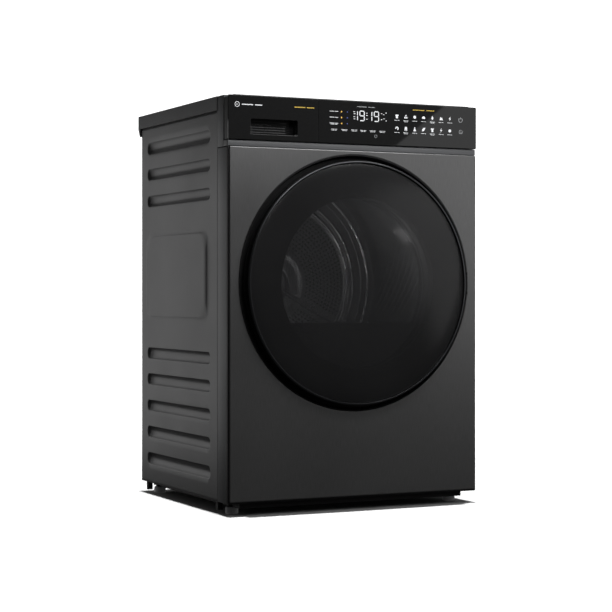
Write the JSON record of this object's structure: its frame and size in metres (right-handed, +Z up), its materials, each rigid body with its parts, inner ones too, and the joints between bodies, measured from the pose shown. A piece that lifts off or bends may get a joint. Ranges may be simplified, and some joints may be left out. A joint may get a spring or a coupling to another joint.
{
  "type": "clothes dryer",
  "caption": "Front-loading heat-pump clothes dryer with a round glass door, touch fascia, pull-out water tank, lint filter and a driven drum.",
  "frame": {"origin": "on the floor, at the middle of the machine's outline", "axes": "+Z up, the door faces -Y, +X to the right as seen from the front"},
  "size_m": [0.592, 0.572, 0.87],
  "materials": {
    "painted_sheet": "satin metallic dark grey paint on pressed sheet",
    "painted_sheet_trim": "satin dark grey",
    "front_metal": "metallic dark grey, fine vertical grain",
    "worktop_board": "dark grey laminate on chipboard",
    "fascia_glass": "high gloss black",
    "black_plastic": "fine texture",
    "grey_plastic": "fine texture",
    "foot_plastic": "fine texture",
    "black_metal": "black paint",
    "door_trim": "dark metallic ring",
    "smoked_glass": "smoked glass, gloss",
    "clear_glass": "clear glass",
    "clear_plastic": "milky plastic",
    "rubber": "matt",
    "felt": "felt",
    "stainless_steel": "brushed",
    "galvanised_steel": "zinc spangle",
    "aluminium": "mill finish",
    "copper": "drawn copper tube"
  },
  "bodies": {
    "cabinet": {"side_panel_left": "painted_sheet", "side_panel_right": "painted_sheet", "front_post_left": "grey_plastic", "front_post_right": "grey_plastic", "fascia_cheek_left": "painted_sheet_trim", "fascia_cheek_right": "painted_sheet_trim", "base_pan": "black_plastic", "front_panel": "front_metal", "front_frame": "black_plastic", "door_recess_ring": "black_plastic", "door_seal": "rubber", "worktop": "worktop_board", "control_glass": "fascia_glass", "control_panel_carrier": "black_plastic", "fascia_ledge": "grey_plastic", "tank_tray": "black_plastic", "front_bulkhead": "grey_plastic", "drum_front_felt": "felt", "filter_duct": "black_plastic", "drive_motor": "aluminium", "drum_belt": "rubber", "fan_housing": "black_plastic", "compressor": "black_metal", "evaporator": "aluminium", "condenser": "aluminium", "refrigerant_pipe": "copper", "condensate_pump": "black_plastic", "back_panel": "galvanised_steel", "rear_air_cover": "galvanised_steel", "rear_bearing": "galvanised_steel", "cord_gland": "black_plastic", "hinge_bracket": "black_metal", "door_catch": "black_plastic"},
    "drum": {"drum_shell": "stainless_steel", "drum_back": "stainless_steel", "drum_lifter_1": "grey_plastic", "drum_lifter_2": "grey_plastic", "drum_lifter_3": "grey_plastic", "drum_shaft": "stainless_steel"},
    "motor_rotor": {"motor_shaft_pulley": "stainless_steel", "process_fan": "grey_plastic"},
    "roller_left": {"drum_roller_left": "rubber"},
    "roller_right": {"drum_roller_right": "rubber"},
    "idler_arm": {"idler_arm": "galvanised_steel"},
    "idler_pulley": {"idler_pulley": "grey_plastic"},
    "door": {"door_ring": "door_trim", "door_glass": "smoked_glass", "door_frame": "black_plastic", "door_inner_cover": "black_plastic", "door_bowl": "clear_glass", "hinge_leaf": "black_metal", "latch_hook": "stainless_steel"},
    "water_tank": {"tank_front": "fascia_glass", "tank_body": "clear_plastic", "tank_lid": "grey_plastic"},
    "lint_filter": {"lint_filter": "grey_plastic"},
    "foot_front_left": {"foot_front_left": "foot_plastic"},
    "foot_front_right": {"foot_front_right": "foot_plastic"},
    "foot_rear_left": {"foot_rear_left": "foot_plastic"},
    "foot_rear_right": {"foot_rear_right": "foot_plastic"}
  },
  "joints": [
    {"name": "door_hinge", "type": "hinge", "parent": "cabinet", "child": "door", "pos_m": [0.2655, -0.267, 0.4815], "axis": [0, 0, 1], "range_deg": [0, 120]},
    {"name": "drum_spin", "type": "hinge", "parent": "cabinet", "child": "drum", "pos_m": [0, 0, 0.4815], "axis": [0, 1, 0], "continuous": true},
    {"name": "motor_spin", "type": "hinge", "parent": "cabinet", "child": "motor_rotor", "pos_m": [0.196, 0, 0.112], "axis": [0, 1, 0], "continuous": true},
    {"name": "roller_left_spin", "type": "hinge", "parent": "cabinet", "child": "roller_left", "pos_m": [-0.17999, -0.179, 0.22445], "axis": [0, 1, 0], "continuous": true},
    {"name": "roller_right_spin", "type": "hinge", "parent": "cabinet", "child": "roller_right", "pos_m": [0.17999, -0.179, 0.22445], "axis": [0, 1, 0], "continuous": true},
    {"name": "idler_arm_swing", "type": "hinge", "parent": "cabinet", "child": "idler_arm", "pos_m": [0.12, 0, 0.1], "axis": [0, 1, 0], "range_deg": [0, 10], "stiffness_Nm_per_rad": 4, "springref_deg": -14.32},
    {"name": "idler_pulley_spin", "type": "hinge", "parent": "idler_arm", "child": "idler_pulley", "pos_m": [0.12, -0.01, 0.164], "axis": [0, 1, 0], "continuous": true},
    {"name": "tank_slide", "type": "slide", "parent": "cabinet", "child": "water_tank", "axis": [0, -1, 0], "range_m": [0, 0.42]},
    {"name": "filter_lift", "type": "slide", "parent": "cabinet", "child": "lint_filter", "axis": [0, 0, 1], "range_m": [0, 0.1]},
    {"name": "foot_front_left_turn", "type": "hinge", "parent": "cabinet", "child": "foot_front_left", "pos_m": [-0.262, -0.2, 0], "axis": [0, 0, 1], "continuous": true},
    {"name": "foot_front_right_turn", "type": "hinge", "parent": "cabinet", "child": "foot_front_right", "pos_m": [0.262, -0.2, 0], "axis": [0, 0, 1], "continuous": true},
    {"name": "foot_rear_left_turn", "type": "hinge", "parent": "cabinet", "child": "foot_rear_left", "pos_m": [-0.262, 0.218, 0], "axis": [0, 0, 1], "continuous": true},
    {"name": "foot_rear_right_turn", "type": "hinge", "parent": "cabinet", "child": "foot_rear_right", "pos_m": [0.262, 0.218, 0], "axis": [0, 0, 1], "continuous": true}
  ],
  "couplings": [
    {"joint": "motor_spin", "follows": "drum_spin", "ratio": 34.4},
    {"joint": "roller_left_spin", "follows": "drum_spin", "ratio": -8.206},
    {"joint": "roller_right_spin", "follows": "drum_spin", "ratio": -8.206},
    {"joint": "idler_pulley_spin", "follows": "drum_spin", "ratio": 12.5}
  ]
}
